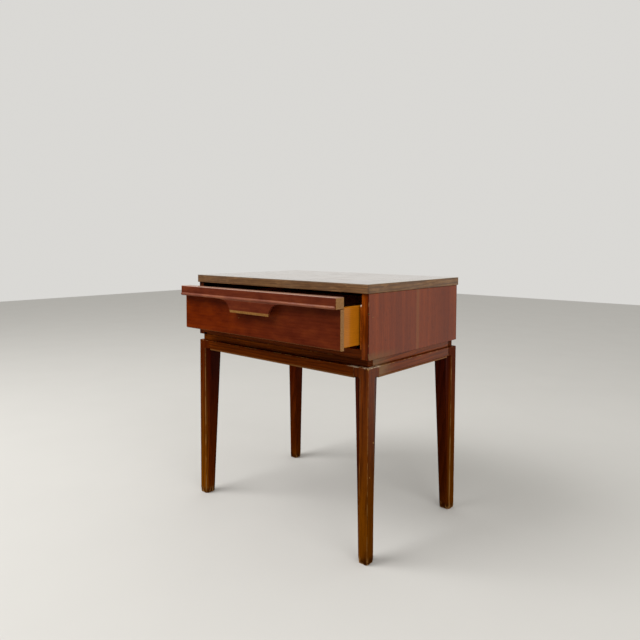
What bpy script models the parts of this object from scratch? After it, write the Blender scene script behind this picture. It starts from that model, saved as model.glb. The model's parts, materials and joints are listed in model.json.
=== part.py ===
"""Bedside stand: laminated top, open-fronted case with one shallow drawer, recessed
plinth, and a leg frame with four tapered, fluted legs.

Metres, +Z up, front towards -Y.  The drawer is drawn out by drawer_opening.  The world
origin is on the floor, at the middle of the stand's outline with the drawer like that.
"""

import math

import bmesh
import bpy
from mathutils import Vector

# ---------------------------------------------------------------- fits and finishes
joint_gap = 0.0003
arris = 0.0006
soft_arris = 0.0012
arc_steps = 8
round_steps = 24
bevel_from_angle = math.radians(40)
crease_angle = math.radians(35)

# ---------------------------------------------------------------- leg frame
leg_height = 0.4009
leg_top_width = 0.038
leg_foot_width = 0.0254
leg_edge_ease = 0.0018
flute_margin = 0.021
flute_depth = 0.0068
flute_end_depth = 0.0034
flute_top_below_rail_top = 0.020
flute_end_rounding = 0.005
frame_rail_height = 0.024
frame_rail_thickness = 0.020
rail_cove_height = 0.0055
rail_cove_depth = 0.003
tenon_length = 0.010
tenon_height = 0.012
tenon_thickness = 0.008
tenon_below_top = 0.0045
corner_block_margin = 0.006
corner_block_height = 0.0195

# ---------------------------------------------------------------- plinth
plinth_height = 0.0149
plinth_recess = 0.0075
plinth_rail_thickness = 0.018
plinth_block_margin = 0.0238

# ---------------------------------------------------------------- case
case_width = 0.540
case_depth = 0.359
case_height = 0.1329
side_panel_thickness = 0.018
case_bottom_thickness = 0.0201
case_bottom_lip_height = 0.015
case_bottom_lip_depth = 0.0075
housing_depth = 0.005
housing_height = 0.009
housing_setback = 0.020
back_panel_thickness = 0.005
back_panel_lap = 0.008
guide_strip_thickness = 0.003
guide_strip_below_top = 0.0225
guide_strip_nose = 0.004
cleat_width = 0.018
cleat_height = 0.021
cleat_setback = 0.032
runner_height = 0.0079
stop_block_depth = 0.0086
stop_block_height = 0.020

# ---------------------------------------------------------------- top
top_thickness = 0.0188
top_side_overhang = 0.001
top_end_overhang = 0.0047
edge_band_thickness = 0.003
laminate_thickness = 0.0008

# ---------------------------------------------------------------- drawer
drawer_opening = 0.0733
reveal_above_lip = 0.0046
reveal_below_plate = 0.0035
front_side_clearance = 0.0027
drawer_side_clearance = 0.0035
lip_height = 0.0235
lip_depth = 0.0256
plate_thickness = 0.0108
plate_edge_radius = 0.004
bead_radius = 0.0035
bead_end_inset = 0.0013
bead_end_turn = math.radians(80)
tongue_drop = 0.028
tongue_foot_width = 0.124
tongue_sweep = 0.033
tongue_thickness = 0.0055
tongue_stand_out = 0.0017
tongue_chamfer_height = 0.0055
tongue_chamfer_depth = 0.0012
drawer_side_thickness = 0.012
drawer_side_below_lip_top = 0.021
drawer_back_thickness = 0.012
drawer_back_below_side = 0.008
drawer_bottom_thickness = 0.005
drawer_bottom_rise = 0.007
groove_depth = 0.005
plate_groove_depth = 0.004
glue_block_width = 0.016
glue_block_margin = 0.006

# ---------------------------------------------------------------- fasteners
dowel_radius = 0.003
dowel_length = 0.021
dowel_spacing = 0.150
screw_shank_radius = 0.0021
screw_head_radius = 0.0042
screw_head_shoulder_radius = 0.0039
screw_head_crown_radius = 0.0023
screw_head_height = 0.0026
screw_slot_width = 0.0011
screw_slot_depth = 0.0012
screw_tip_radius = 0.0006
screw_tip_length = 0.0042
screw_grip_in_case = 0.013
screw_from_leg = 0.009

# ---------------------------------------------------------------- places worked out from them
case_half_width = case_width / 2
case_half_depth = case_depth / 2
plinth_base = leg_height + joint_gap
case_base = plinth_base + plinth_height + joint_gap
case_floor = case_base + case_bottom_thickness
case_top = case_base + case_height
top_base = case_top + joint_gap
case_inside = case_half_width - side_panel_thickness
strip_face = case_inside - guide_strip_thickness
back_panel_face = case_half_depth - back_panel_thickness
case_back = back_panel_face - joint_gap
runner_top = case_floor + joint_gap + runner_height
screw_from_corner = leg_top_width + screw_from_leg
top_half_width = case_half_width + top_side_overhang
top_half_depth = case_half_depth + top_end_overhang

# The drawer's own frame: y = 0 on the lip's front face, z = 0 under its sides.
drawer_base = runner_top + joint_gap
lip_top = top_base - reveal_above_lip - drawer_base
lip_base = lip_top - lip_height
plate_top = lip_base - joint_gap
plate_base = case_floor + reveal_below_plate - drawer_base
plate_front = lip_depth - plate_thickness
drawer_side_height = lip_top - drawer_side_below_lip_top
drawer_rear = case_depth - back_panel_thickness - stop_block_depth - 3 * joint_gap
drawer_half_width = strip_face - drawer_side_clearance
front_half_width = strip_face - front_side_clearance
drawer_inside = drawer_half_width - drawer_side_thickness
bottom_panel_top = drawer_bottom_rise + drawer_bottom_thickness
bead_height = lip_base + bead_radius + joint_gap

stand_front = case_half_depth + drawer_opening + bead_radius
origin_setback = (stand_front - top_half_depth) / 2


# ---------------------------------------------------------------- helpers
def clear_scene():
    for item in list(bpy.data.objects):
        bpy.data.objects.remove(item)


def finish(name, colour, roughness, metallic=0.0):
    """One Principled material; colour is linear red, green, blue."""
    material = bpy.data.materials.new(name)
    material.use_nodes = True
    shader = material.node_tree.nodes["Principled BSDF"]
    shader.inputs["Base Color"].default_value = (*colour, 1.0)
    shader.inputs["Roughness"].default_value = roughness
    shader.inputs["Metallic"].default_value = metallic
    return material


def add_anchor(name, parent, place, turn=0.0):
    """An empty that carries a group of pieces."""
    anchor = bpy.data.objects.new(name, None)
    bpy.context.scene.collection.objects.link(anchor)
    anchor.parent = parent
    anchor.location = place
    anchor.rotation_euler = (0.0, 0.0, turn)
    return anchor


def add_piece(name, bm, parent, material):
    """Turn a bmesh into an object with outward faces."""
    bmesh.ops.recalc_face_normals(bm, faces=bm.faces)
    mesh = bpy.data.meshes.new(name)
    bm.to_mesh(mesh)
    bm.free()
    mesh.materials.append(material)
    piece = bpy.data.objects.new(name, mesh)
    bpy.context.scene.collection.objects.link(piece)
    piece.parent = parent
    return piece


def add_copy(name, pattern, parent):
    """Another object that shares a finished pattern's mesh."""
    piece = bpy.data.objects.new(name, pattern.data)
    bpy.context.scene.collection.objects.link(piece)
    piece.parent = parent
    return piece


def ease(piece, width):
    """Take the sharpness off every edge."""
    bevel = piece.modifiers.new("eased edges", "BEVEL")
    bevel.width = width
    bevel.segments = 1
    bevel.limit_method = "ANGLE"
    bevel.angle_limit = bevel_from_angle


def block(name, low, high, parent, material, easing=0.0):
    """A board between two corners, with its origin at its middle."""
    low = Vector(low)
    high = Vector(high)
    bm = bmesh.new()
    bmesh.ops.create_cube(bm, size=1.0)
    bmesh.ops.scale(bm, vec=high - low, verts=bm.verts)
    piece = add_piece(name, bm, parent, material)
    piece.location = (low + high) / 2
    if easing:
        ease(piece, easing)
    return piece


def prism(name, outline, axis, start, end, parent, material):
    """Extrude an outline along X (points are y, z), Y (x, z) or Z (x, y)."""
    place = {
        "X": lambda along, a, b: (along, a, b),
        "Y": lambda along, a, b: (a, along, b),
        "Z": lambda along, a, b: (a, b, along),
    }[axis]
    bm = bmesh.new()
    rings = [[bm.verts.new(place(along, a, b)) for a, b in outline] for along in (start, end)]
    join_rings(bm, rings)
    return add_piece(name, bm, parent, material)


def join_rings(bm, rings):
    """Skin a row of equal rings and cap both ends."""
    for ring, following in zip(rings, rings[1:]):
        for i in range(len(ring)):
            j = (i + 1) % len(ring)
            bm.faces.new((ring[i], ring[j], following[j], following[i]))
    bm.faces.new(rings[0])
    bm.faces.new(rings[-1])


def turned(name, profile, centre, parent, material, axis="Z"):
    """Turn a row of (place along the axis, radius) points round an axis through centre."""
    bm = bmesh.new()
    rings = []
    for along, radius in profile:
        ring = []
        for i in range(round_steps):
            angle = math.tau * i / round_steps
            a = radius * math.cos(angle)
            b = radius * math.sin(angle)
            point = Vector((a, b, along)) if axis == "Z" else Vector((along, a, b))
            ring.append(bm.verts.new(point + Vector(centre)))
        rings.append(ring)
    join_rings(bm, rings)
    piece = add_piece(name, bm, parent, material)
    piece.data.shade_smooth()
    piece.data.set_sharp_from_angle(angle=crease_angle)
    return piece


def ellipse_arc(centre, across, up, start, end):
    """Points on an ellipse between two angles in degrees."""
    points = []
    for i in range(arc_steps + 1):
        angle = math.radians(start + (end - start) * i / arc_steps)
        points.append((centre[0] + across * math.cos(angle), centre[1] + up * math.sin(angle)))
    return points


def combine(piece, tool, operation):
    """Cut a piece with a hidden tool, or weld the tool's shape to it."""
    tool.hide_render = True
    tool.display_type = "WIRE"
    boolean = piece.modifiers.new(tool.name, "BOOLEAN")
    boolean.operation = operation
    boolean.object = tool


def cut(piece, tool):
    combine(piece, tool, "DIFFERENCE")


def weld(piece, tool):
    combine(piece, tool, "UNION")


def settle(piece, tools):
    """Make the modifiers' result the piece's own mesh, and drop the tools."""
    graph = bpy.context.evaluated_depsgraph_get()
    graph.update()
    mesh = bpy.data.meshes.new_from_object(piece.evaluated_get(graph))
    piece.modifiers.clear()
    piece.data = mesh
    for tool in tools:
        bpy.data.objects.remove(tool)


# ---------------------------------------------------------------- top
def build_top(stand):
    core_wood = finish("chipboard", (0.42, 0.30, 0.17), 0.8)
    laminate = finish("top_laminate", (0.30, 0.27, 0.24), 0.18)
    band = finish("edge_band", (0.14, 0.085, 0.05), 0.45)
    laminate_base = top_base + top_thickness - laminate_thickness
    board_top = laminate_base - joint_gap
    core_x = top_half_width - edge_band_thickness - joint_gap
    core_y = top_half_depth - edge_band_thickness - joint_gap
    block("top_core", (-core_x, -core_y, top_base), (core_x, core_y, board_top), stand, core_wood)
    block(
        "top_laminate",
        (-top_half_width, -top_half_depth, laminate_base),
        (top_half_width, top_half_depth, laminate_base + laminate_thickness),
        stand,
        laminate,
    )
    for name, side in (("front", -1), ("back", 1)):
        ends = sorted((side * top_half_depth, side * (top_half_depth - edge_band_thickness)))
        block(
            f"edge_band_{name}",
            (-top_half_width, ends[0], top_base),
            (top_half_width, ends[1], board_top),
            stand,
            band,
            arris,
        )
    for name, side in (("left", -1), ("right", 1)):
        ends = sorted((side * top_half_width, side * (top_half_width - edge_band_thickness)))
        block(
            f"edge_band_{name}",
            (ends[0], -core_y, top_base),
            (ends[1], core_y, board_top),
            stand,
            band,
            arris,
        )


# ---------------------------------------------------------------- case
def build_case(stand):
    panel_wood = finish("panel_wood", (0.16, 0.06, 0.04), 0.4)
    strip_wood = finish("strip_wood", (0.28, 0.13, 0.06), 0.5)
    plain_wood = finish("unstained_wood", (0.40, 0.24, 0.11), 0.65)
    hardboard = finish("hardboard", (0.16, 0.09, 0.05), 0.75)
    build_case_bottom(stand, panel_wood)
    for name, side in (("left", -1), ("right", 1)):
        build_side_panel(f"side_panel_{name}", side, stand, panel_wood)
        build_guide_strip(f"guide_strip_{name}", side, stand, strip_wood)
        build_side_fittings(name, side, stand, plain_wood)
    lap = case_inside + back_panel_lap
    block(
        "back_panel",
        (-lap, back_panel_face, case_base),
        (lap, case_half_depth, case_top),
        stand,
        hardboard,
    )
    inner_end = case_inside - joint_gap - cleat_width - joint_gap
    block(
        "top_cleat_back",
        (-inner_end, case_back - cleat_width, case_top - cleat_height),
        (inner_end, case_back, case_top),
        stand,
        plain_wood,
        arris,
    )


def housing_tool(name, parent, material, clearance):
    """The case bottom's stub tongues, or with a clearance the housings they enter."""
    middle = case_base + case_bottom_thickness / 2
    reach = case_inside + housing_depth - joint_gap + clearance
    half_height = housing_height / 2 + clearance
    return block(
        name,
        (-reach, housing_setback - case_half_depth - clearance, middle - half_height),
        (reach, case_back + clearance, middle + half_height),
        parent,
        material,
    )


def build_case_bottom(stand, material):
    lip_back = case_bottom_lip_depth - case_half_depth
    lip_base_height = case_floor - case_bottom_lip_height
    outline = [
        (-case_half_depth, case_floor - arris),
        (-case_half_depth, lip_base_height + arris),
        (arris - case_half_depth, lip_base_height),
        (lip_back, lip_base_height),
        (lip_back, case_base),
        (case_back, case_base),
        (case_back, case_floor),
        (arris - case_half_depth, case_floor),
    ]
    reach = case_inside - joint_gap
    bottom = prism("case_bottom", outline, "X", -reach, reach, stand, material)
    weld(bottom, housing_tool("bottom_tongue_shape", stand, material, 0.0))
    for number, anchor_place in enumerate(corner_places()):
        place, turn = anchor_place
        anchor = add_anchor(f"case_screw_hole_{number}", stand, place, turn)
        cut(bottom, screw_hole(f"case_screw_hole_shape_{number}", anchor, material))


def build_side_panel(name, side, stand, material):
    inner, outer = sorted((side * case_inside, side * case_half_width))
    panel = block(
        name,
        (inner, -case_half_depth, case_base),
        (outer, case_half_depth, case_top),
        stand,
        material,
        arris,
    )
    cut(panel, housing_tool(f"{name}_housing_shape", stand, material, joint_gap))
    lap = case_inside + back_panel_lap + joint_gap
    past = 2 * arris
    rebate = block(
        f"{name}_rebate_shape",
        (-lap, case_back, case_base - past),
        (lap, case_half_depth + past, case_top + past),
        stand,
        material,
    )
    cut(panel, rebate)


def build_guide_strip(name, side, stand, material):
    """Thin strip on the panel's inner face, with its upper front corner rounded."""
    low = case_floor + joint_gap
    high = case_top - guide_strip_below_top
    front = -case_half_depth
    nose = (front + guide_strip_nose, high - guide_strip_nose)
    outline = [(front, low)]
    outline += [(nose[0] + y, nose[1] + z) for y, z in nose_arc(guide_strip_nose)]
    outline += [(case_back, high), (case_back, low)]
    ends = sorted((side * strip_face, side * (case_inside - joint_gap)))
    prism(name, outline, "X", ends[0], ends[1], stand, material)


def nose_arc(radius):
    return ellipse_arc((0.0, 0.0), radius, radius, 180, 90)


def build_side_fittings(name, side, stand, material):
    """Cleat that holds the top, runner under the drawer side and stop behind it."""
    front = cleat_setback - case_half_depth
    cleat_ends = sorted((side * (case_inside - joint_gap), side * (case_inside - joint_gap - cleat_width)))
    block(
        f"top_cleat_{name}",
        (cleat_ends[0], front, case_top - cleat_height),
        (cleat_ends[1], case_back, case_top),
        stand,
        material,
        arris,
    )
    runner_ends = sorted((side * (strip_face - joint_gap), side * (drawer_inside - joint_gap)))
    block(
        f"drawer_runner_{name}",
        (runner_ends[0], front, case_floor + joint_gap),
        (runner_ends[1], case_back, runner_top),
        stand,
        material,
        arris,
    )
    block(
        f"drawer_stop_{name}",
        (runner_ends[0], case_back - stop_block_depth, runner_top + joint_gap),
        (runner_ends[1], case_back, runner_top + joint_gap + stop_block_height),
        stand,
        material,
        arris,
    )


# ---------------------------------------------------------------- plinth and leg frame
def corner_places():
    """The case's four corners, each with the turn that points local X and Y inwards."""
    return [
        ((-case_half_width, -case_half_depth, 0.0), 0.0),
        ((case_half_width, -case_half_depth, 0.0), math.pi / 2),
        ((case_half_width, case_half_depth, 0.0), math.pi),
        ((-case_half_width, case_half_depth, 0.0), 3 * math.pi / 2),
    ]


corner_names = ("front_left", "front_right", "back_right", "back_left")
screw_centre = (screw_from_corner, screw_from_corner, 0.0)


def build_plinth(stand):
    dark_wood = finish("plinth_wood", (0.075, 0.03, 0.015), 0.5)
    outer_x = case_half_width - plinth_recess
    outer_y = case_half_depth - plinth_recess
    inner_x = outer_x - plinth_rail_thickness
    inner_y = outer_y - plinth_rail_thickness - joint_gap
    top = plinth_base + plinth_height
    for name, side in (("front", -1), ("back", 1)):
        ends = sorted((side * outer_y, side * (outer_y - plinth_rail_thickness)))
        low = (-outer_x, ends[0], plinth_base)
        block(f"plinth_{name}", low, (outer_x, ends[1], top), stand, dark_wood, arris)
    for name, side in (("left", -1), ("right", 1)):
        ends = sorted((side * outer_x, side * inner_x))
        low = (ends[0], -inner_y, plinth_base)
        block(f"plinth_{name}", low, (ends[1], inner_y, top), stand, dark_wood, arris)


def screw_profile():
    """Height and radius of a wood screw whose head sits under the corner block."""
    seat = leg_height - joint_gap - corner_block_height - joint_gap
    tip = case_base + screw_grip_in_case
    return [
        (seat - screw_head_height, screw_head_crown_radius),
        (seat - screw_head_height / 2, screw_head_shoulder_radius),
        (seat, screw_head_radius),
        (seat, screw_shank_radius),
        (tip - screw_tip_length, screw_shank_radius),
        (tip, screw_tip_radius),
    ]


def screw_hole(name, parent, material):
    """Shape of the hole round one frame screw's shank."""
    radius = screw_shank_radius + joint_gap
    profile = [(0.0, radius), (case_base + screw_grip_in_case + joint_gap, radius)]
    return turned(name, profile, screw_centre, parent, material)


def leg_ring(bm, height, width):
    """Section of the leg at a height, square but for its eased outer edge."""
    middle_of_ease = leg_edge_ease * (1.0 - math.sqrt(0.5))
    outline = [
        (0.0, leg_edge_ease),
        (middle_of_ease, middle_of_ease),
        (leg_edge_ease, 0.0),
        (width - arris, 0.0),
        (width, arris),
        (width, width - arris),
        (width - arris, width),
        (arris, width),
        (0.0, width - arris),
    ]
    return [bm.verts.new((a, b, height)) for a, b in outline]


def flute_tool(parent, material):
    """Upright bar, elliptical in section and rounded at its top, that hollows one edge."""
    bm = bmesh.new()
    top = leg_height - flute_top_below_rail_top
    start = top - flute_end_rounding
    levels = [(-leg_foot_width, 0.0)]
    for i in range(arc_steps):
        angle = math.pi / 2 * i / arc_steps
        shrink = flute_end_rounding * (1.0 - math.cos(angle))
        levels.append((start + flute_end_rounding * math.sin(angle), shrink))
    levels.append((top, flute_end_rounding))
    reach = leg_top_width - flute_margin
    rings = []
    for height, shrink in levels:
        depth = flute_depth - (flute_depth - flute_end_depth) * shrink / flute_end_rounding
        points = ellipse_ring(reach - shrink, depth)
        rings.append([bm.verts.new((leg_top_width + a, b, height)) for a, b in points])
    join_rings(bm, rings)
    return add_piece("flute_shape", bm, parent, material)


def ellipse_ring(across, up):
    """Ellipse round the origin; no point is level with its centre."""
    points = []
    for i in range(4 * arc_steps):
        angle = math.tau * (i + 0.5) / (4 * arc_steps)
        points.append((across * math.cos(angle), up * math.sin(angle)))
    return points


def tenon_box(name, start, end, clearance, parent, material):
    """Bar along local X with the tenons' section, grown by a clearance."""
    top = leg_height - tenon_below_top
    middle = frame_rail_thickness / 2
    half = tenon_thickness / 2 + clearance
    low = (start - clearance, middle - half, top - tenon_height - clearance)
    high = (end + clearance, middle + half, top + clearance)
    return block(name, low, high, parent, material)


def across_diagonal(tool):
    """Image of a cutting shape with local X and Y exchanged."""
    mesh = tool.data.copy()
    for vertex in mesh.vertices:
        x, y, z = vertex.co + tool.location
        vertex.co = (y, x, z)
    mesh.flip_normals()
    image = bpy.data.objects.new(f"{tool.name}_across", mesh)
    bpy.context.scene.collection.objects.link(image)
    image.parent = tool.parent
    return image


def build_leg_pattern(parent, material):
    """A leg in the front left corner's place; it is the same across its diagonal."""
    bm = bmesh.new()
    straight_base = leg_height - frame_rail_height
    rings = [
        leg_ring(bm, 0.0, leg_foot_width - arris),
        leg_ring(bm, soft_arris, leg_foot_width),
        leg_ring(bm, straight_base, leg_top_width),
        leg_ring(bm, leg_height, leg_top_width),
    ]
    join_rings(bm, rings)
    leg = add_piece("leg_pattern", bm, parent, material)
    mortise_ends = (leg_top_width - tenon_length, leg_top_width + tenon_length)
    flute = flute_tool(parent, material)
    mortise = tenon_box("mortise_shape", *mortise_ends, joint_gap, parent, material)
    tools = [flute, mortise, across_diagonal(flute), across_diagonal(mortise)]
    for tool in tools:
        cut(leg, tool)
    settle(leg, tools)
    leg.data.shade_smooth()
    leg.data.set_sharp_from_angle(angle=crease_angle)
    return leg


def corner_block_outline():
    """Plan of the brace inside a corner, notched round the leg."""
    rail = frame_rail_thickness + joint_gap
    leg = leg_top_width + joint_gap
    far = 2 * screw_from_corner + math.sqrt(2) * corner_block_margin - rail
    return [(leg, rail), (far, rail), (rail, far), (rail, leg), (leg, leg)]


def build_corner(name, anchor, patterns):
    """A corner's own leg, blocks and screw, copied from their patterns."""
    for kind, pattern in patterns.items():
        add_copy(f"{kind}_{name}", pattern, anchor)


def build_frame_rail(name, length, anchor, material):
    """Rail along local X with its outer face at y = 0, coved below and tenoned at both ends."""
    cove = ellipse_arc((0.0, leg_height - frame_rail_height), rail_cove_depth, rail_cove_height, 0, 90)
    outline = [
        (frame_rail_thickness, leg_height),
        (frame_rail_thickness, leg_height - frame_rail_height),
    ]
    outline += cove
    outline += [(0.0, leg_height - arris), (arris, leg_height)]
    shoulder = leg_top_width + joint_gap
    rail = prism(name, outline, "X", shoulder, length - shoulder, anchor, material)
    tenon_end = shoulder - tenon_length
    weld(rail, tenon_box(f"{name}_tenon_shape", tenon_end, length - tenon_end, 0.0, anchor, material))


def build_leg_frame(stand):
    leg_wood = finish("leg_wood", (0.09, 0.032, 0.01), 0.42)
    block_wood = finish("block_wood", (0.33, 0.19, 0.09), 0.7)
    steel = finish("screw_steel", (0.45, 0.42, 0.36), 0.4, 1.0)
    patterns = {
        "leg": build_leg_pattern(stand, leg_wood),
        "corner_block": build_corner_block(stand, block_wood),
        "plinth_block": build_plinth_block(stand, block_wood),
        "frame_screw": build_frame_screw(stand, steel),
    }
    rails = {
        "front_left": ("frame_rail_front", case_width),
        "front_right": ("frame_rail_right", case_depth),
        "back_right": ("frame_rail_back", case_width),
        "back_left": ("frame_rail_left", case_depth),
    }
    for name, (place, turn) in zip(corner_names, corner_places()):
        anchor = add_anchor(f"corner_{name}", stand, place, turn)
        build_corner(name, anchor, patterns)
        rail_name, length = rails[name]
        build_frame_rail(rail_name, length, anchor, leg_wood)
    for pattern in patterns.values():
        bpy.data.objects.remove(pattern)


def build_corner_block(parent, material):
    top = leg_height - joint_gap
    piece = prism(
        "corner_block_pattern",
        corner_block_outline(),
        "Z",
        top - corner_block_height,
        top,
        parent,
        material,
    )
    hole = screw_hole("corner_block_hole", parent, material)
    cut(piece, hole)
    settle(piece, [hole])
    return piece


def build_plinth_block(parent, material):
    near = plinth_recess + plinth_rail_thickness + joint_gap
    far = screw_from_corner + plinth_block_margin
    outline = [(near, near), (far, near), (far, far), (near, far)]
    top = plinth_base + plinth_height
    piece = prism("plinth_block_pattern", outline, "Z", plinth_base, top, parent, material)
    hole = screw_hole("plinth_block_hole", parent, material)
    cut(piece, hole)
    settle(piece, [hole])
    return piece


def build_frame_screw(parent, material):
    screw = turned("frame_screw_pattern", screw_profile(), screw_centre, parent, material)
    head_base = screw_profile()[0][0]
    centre = Vector((screw_from_corner, screw_from_corner, head_base))
    reach = Vector((2 * screw_head_radius, screw_slot_width / 2, screw_slot_depth))
    slot = block("screw_slot_shape", centre - reach, centre + reach, parent, material)
    cut(screw, slot)
    settle(screw, [slot])
    return screw


# ---------------------------------------------------------------- drawer
def build_drawer(stand):
    """The drawer's pieces, in a frame that slides along Y."""
    red_wood = finish("drawer_front_wood", (0.12, 0.025, 0.01), 0.35)
    pine = finish("pine", (0.43, 0.17, 0.03), 0.5)
    plywood = finish("plywood", (0.40, 0.25, 0.13), 0.6)
    beech = finish("beech_dowel", (0.50, 0.32, 0.17), 0.6)
    slide = add_anchor("drawer_slide", stand, (0.0, -case_half_depth - drawer_opening, drawer_base))
    pull = build_pull_rail(slide, red_wood)
    plate = build_front_plate(slide, red_wood)
    build_dowels(slide, beech, (pull, plate))
    sides = build_drawer_sides(slide, pine)
    build_drawer_back(slide, pine)
    build_drawer_bottom(slide, plywood, sides, plate)
    build_glue_blocks(slide, pine)


def build_pull_rail(slide, material):
    """Top rail of the front: a lip with a bead below it and a tongue to pull on."""
    rail = block(
        "drawer_pull_rail",
        (-front_half_width, 0.0, lip_base),
        (front_half_width, lip_depth, lip_top),
        slide,
        material,
        soft_arris,
    )
    weld(rail, turned("bead_shape", bead_profile(), (0.0, 0.0, bead_height), slide, material, "X"))
    weld(rail, tongue_shape(slide, material))
    return rail


def bead_profile():
    """The bead's places along X and radii there, from end to end, both ends rounded."""
    straight = front_half_width - bead_end_inset - bead_radius
    right = []
    for i in range(arc_steps + 1):
        turn = bead_end_turn * i / arc_steps
        right.append((straight + bead_radius * math.sin(turn), bead_radius * math.cos(turn)))
    left = [(-along, radius) for along, radius in reversed(right)]
    return left + right


def tongue_shape(slide, material):
    """Tongue that hangs from the bead, swept out at its root and chamfered at its foot."""
    foot = tongue_foot_width / 2
    foot_height = lip_base - tongue_drop
    centre = (foot + tongue_sweep, foot_height)
    right = ellipse_arc(centre, tongue_sweep, tongue_drop, 180, 90)
    right = right + [(centre[0], bead_height)]
    left = [(-x, z) for x, z in reversed(right)]
    front = -tongue_stand_out
    tongue = prism("tongue_shape", left + right, "Y", front, front + tongue_thickness, slide, material)
    slope_top = foot_height + tongue_chamfer_height
    past = tongue_chamfer_height
    run = tongue_chamfer_depth / tongue_chamfer_height
    wedge = [
        (front - past * run, slope_top + past),
        (front - tongue_thickness, slope_top + past),
        (front - tongue_thickness, foot_height - past),
        (front + (tongue_chamfer_height + past) * run, foot_height - past),
    ]
    tool = prism("tongue_chamfer_shape", wedge, "X", -2 * foot, 2 * foot, slide, material)
    cut(tongue, tool)
    return tongue


def build_front_plate(slide, material):
    """Thin front board below the lip, set back from it, with rounded lower edges."""
    r = plate_edge_radius
    outline = ellipse_arc((plate_front + r, plate_base + r), r, r, 180, 270)
    outline += [(lip_depth - arris, plate_base), (lip_depth, plate_base + arris)]
    outline += [(lip_depth, plate_top), (plate_front, plate_top)]
    reach = front_half_width
    plate = prism("drawer_front_plate", outline, "X", -reach, reach, slide, material)
    groove = block(
        "plate_groove_shape",
        (-drawer_inside, lip_depth - plate_groove_depth, drawer_bottom_rise - joint_gap),
        (drawer_inside, lip_depth + plate_groove_depth, bottom_panel_top + joint_gap),
        slide,
        material,
    )
    cut(plate, groove)
    return plate


def build_dowels(slide, material, boards):
    """Three dowels upright through the joint between the front plate and the lip."""
    middle = plate_front + plate_thickness / 2
    half = dowel_length / 2
    for name, x in (("left", -dowel_spacing), ("centre", 0.0), ("right", dowel_spacing)):
        centre = (x, middle, lip_base)
        profile = [
            (-half, dowel_radius - arris),
            (arris - half, dowel_radius),
            (half - arris, dowel_radius),
            (half, dowel_radius - arris),
        ]
        turned(f"front_dowel_{name}", profile, centre, slide, material)
        bored = dowel_radius + joint_gap
        deep = half + joint_gap
        hole = turned(f"dowel_hole_{name}", [(-deep, bored), (deep, bored)], centre, slide, material)
        for board in boards:
            cut(board, hole)


def build_drawer_sides(slide, material):
    sides = []
    for name, side in (("left", -1), ("right", 1)):
        ends = sorted((side * drawer_half_width, side * drawer_inside))
        low = (ends[0], lip_depth + joint_gap, 0.0)
        high = (ends[1], drawer_rear, drawer_side_height)
        sides.append(block(f"drawer_side_{name}", low, high, slide, material, soft_arris))
    return sides


def build_drawer_back(slide, material):
    reach = drawer_inside - joint_gap
    block(
        "drawer_back",
        (-reach, drawer_rear - drawer_back_thickness, bottom_panel_top + joint_gap),
        (reach, drawer_rear, drawer_side_height - drawer_back_below_side),
        slide,
        material,
        arris,
    )


def build_drawer_bottom(slide, material, sides, plate):
    """Thin panel in grooves in the sides and the front plate; it runs on under the back."""
    reach = drawer_inside + groove_depth - joint_gap
    notch = lip_depth + joint_gap
    front = lip_depth - plate_groove_depth + joint_gap
    narrow = drawer_inside - joint_gap
    outline = [
        (-narrow, front),
        (narrow, front),
        (narrow, notch),
        (reach, notch),
        (reach, drawer_rear),
        (-reach, drawer_rear),
        (-reach, notch),
        (-narrow, notch),
    ]
    prism("drawer_bottom", outline, "Z", drawer_bottom_rise, bottom_panel_top, slide, material)
    groove = block(
        "side_groove_shape",
        (-drawer_inside - groove_depth, 0.0, drawer_bottom_rise - joint_gap),
        (drawer_inside + groove_depth, drawer_rear + groove_depth, bottom_panel_top + joint_gap),
        slide,
        material,
    )
    for side in sides:
        cut(side, groove)


def build_glue_blocks(slide, material):
    """Upright blocks in the drawer's two front corners."""
    low_z = bottom_panel_top + joint_gap
    high_z = drawer_side_height - glue_block_margin
    for name, side in (("left", -1), ("right", 1)):
        outer = drawer_inside - joint_gap
        ends = sorted((side * outer, side * (outer - glue_block_width)))
        low = (ends[0], lip_depth + joint_gap, low_z)
        high = (ends[1], lip_depth + joint_gap + glue_block_width, high_z)
        block(f"drawer_glue_block_{name}", low, high, slide, material, soft_arris)


# ---------------------------------------------------------------- whole stand
def main():
    clear_scene()
    stand = add_anchor("bedside_stand", None, (0.0, origin_setback, 0.0))
    build_leg_frame(stand)
    build_plinth(stand)
    build_case(stand)
    build_top(stand)
    build_drawer(stand)


main()
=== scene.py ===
import json
import math

import bmesh
import bpy
from bpy.props import FloatProperty, FloatVectorProperty, PointerProperty
from mathutils import Matrix, Vector, noise

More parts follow.
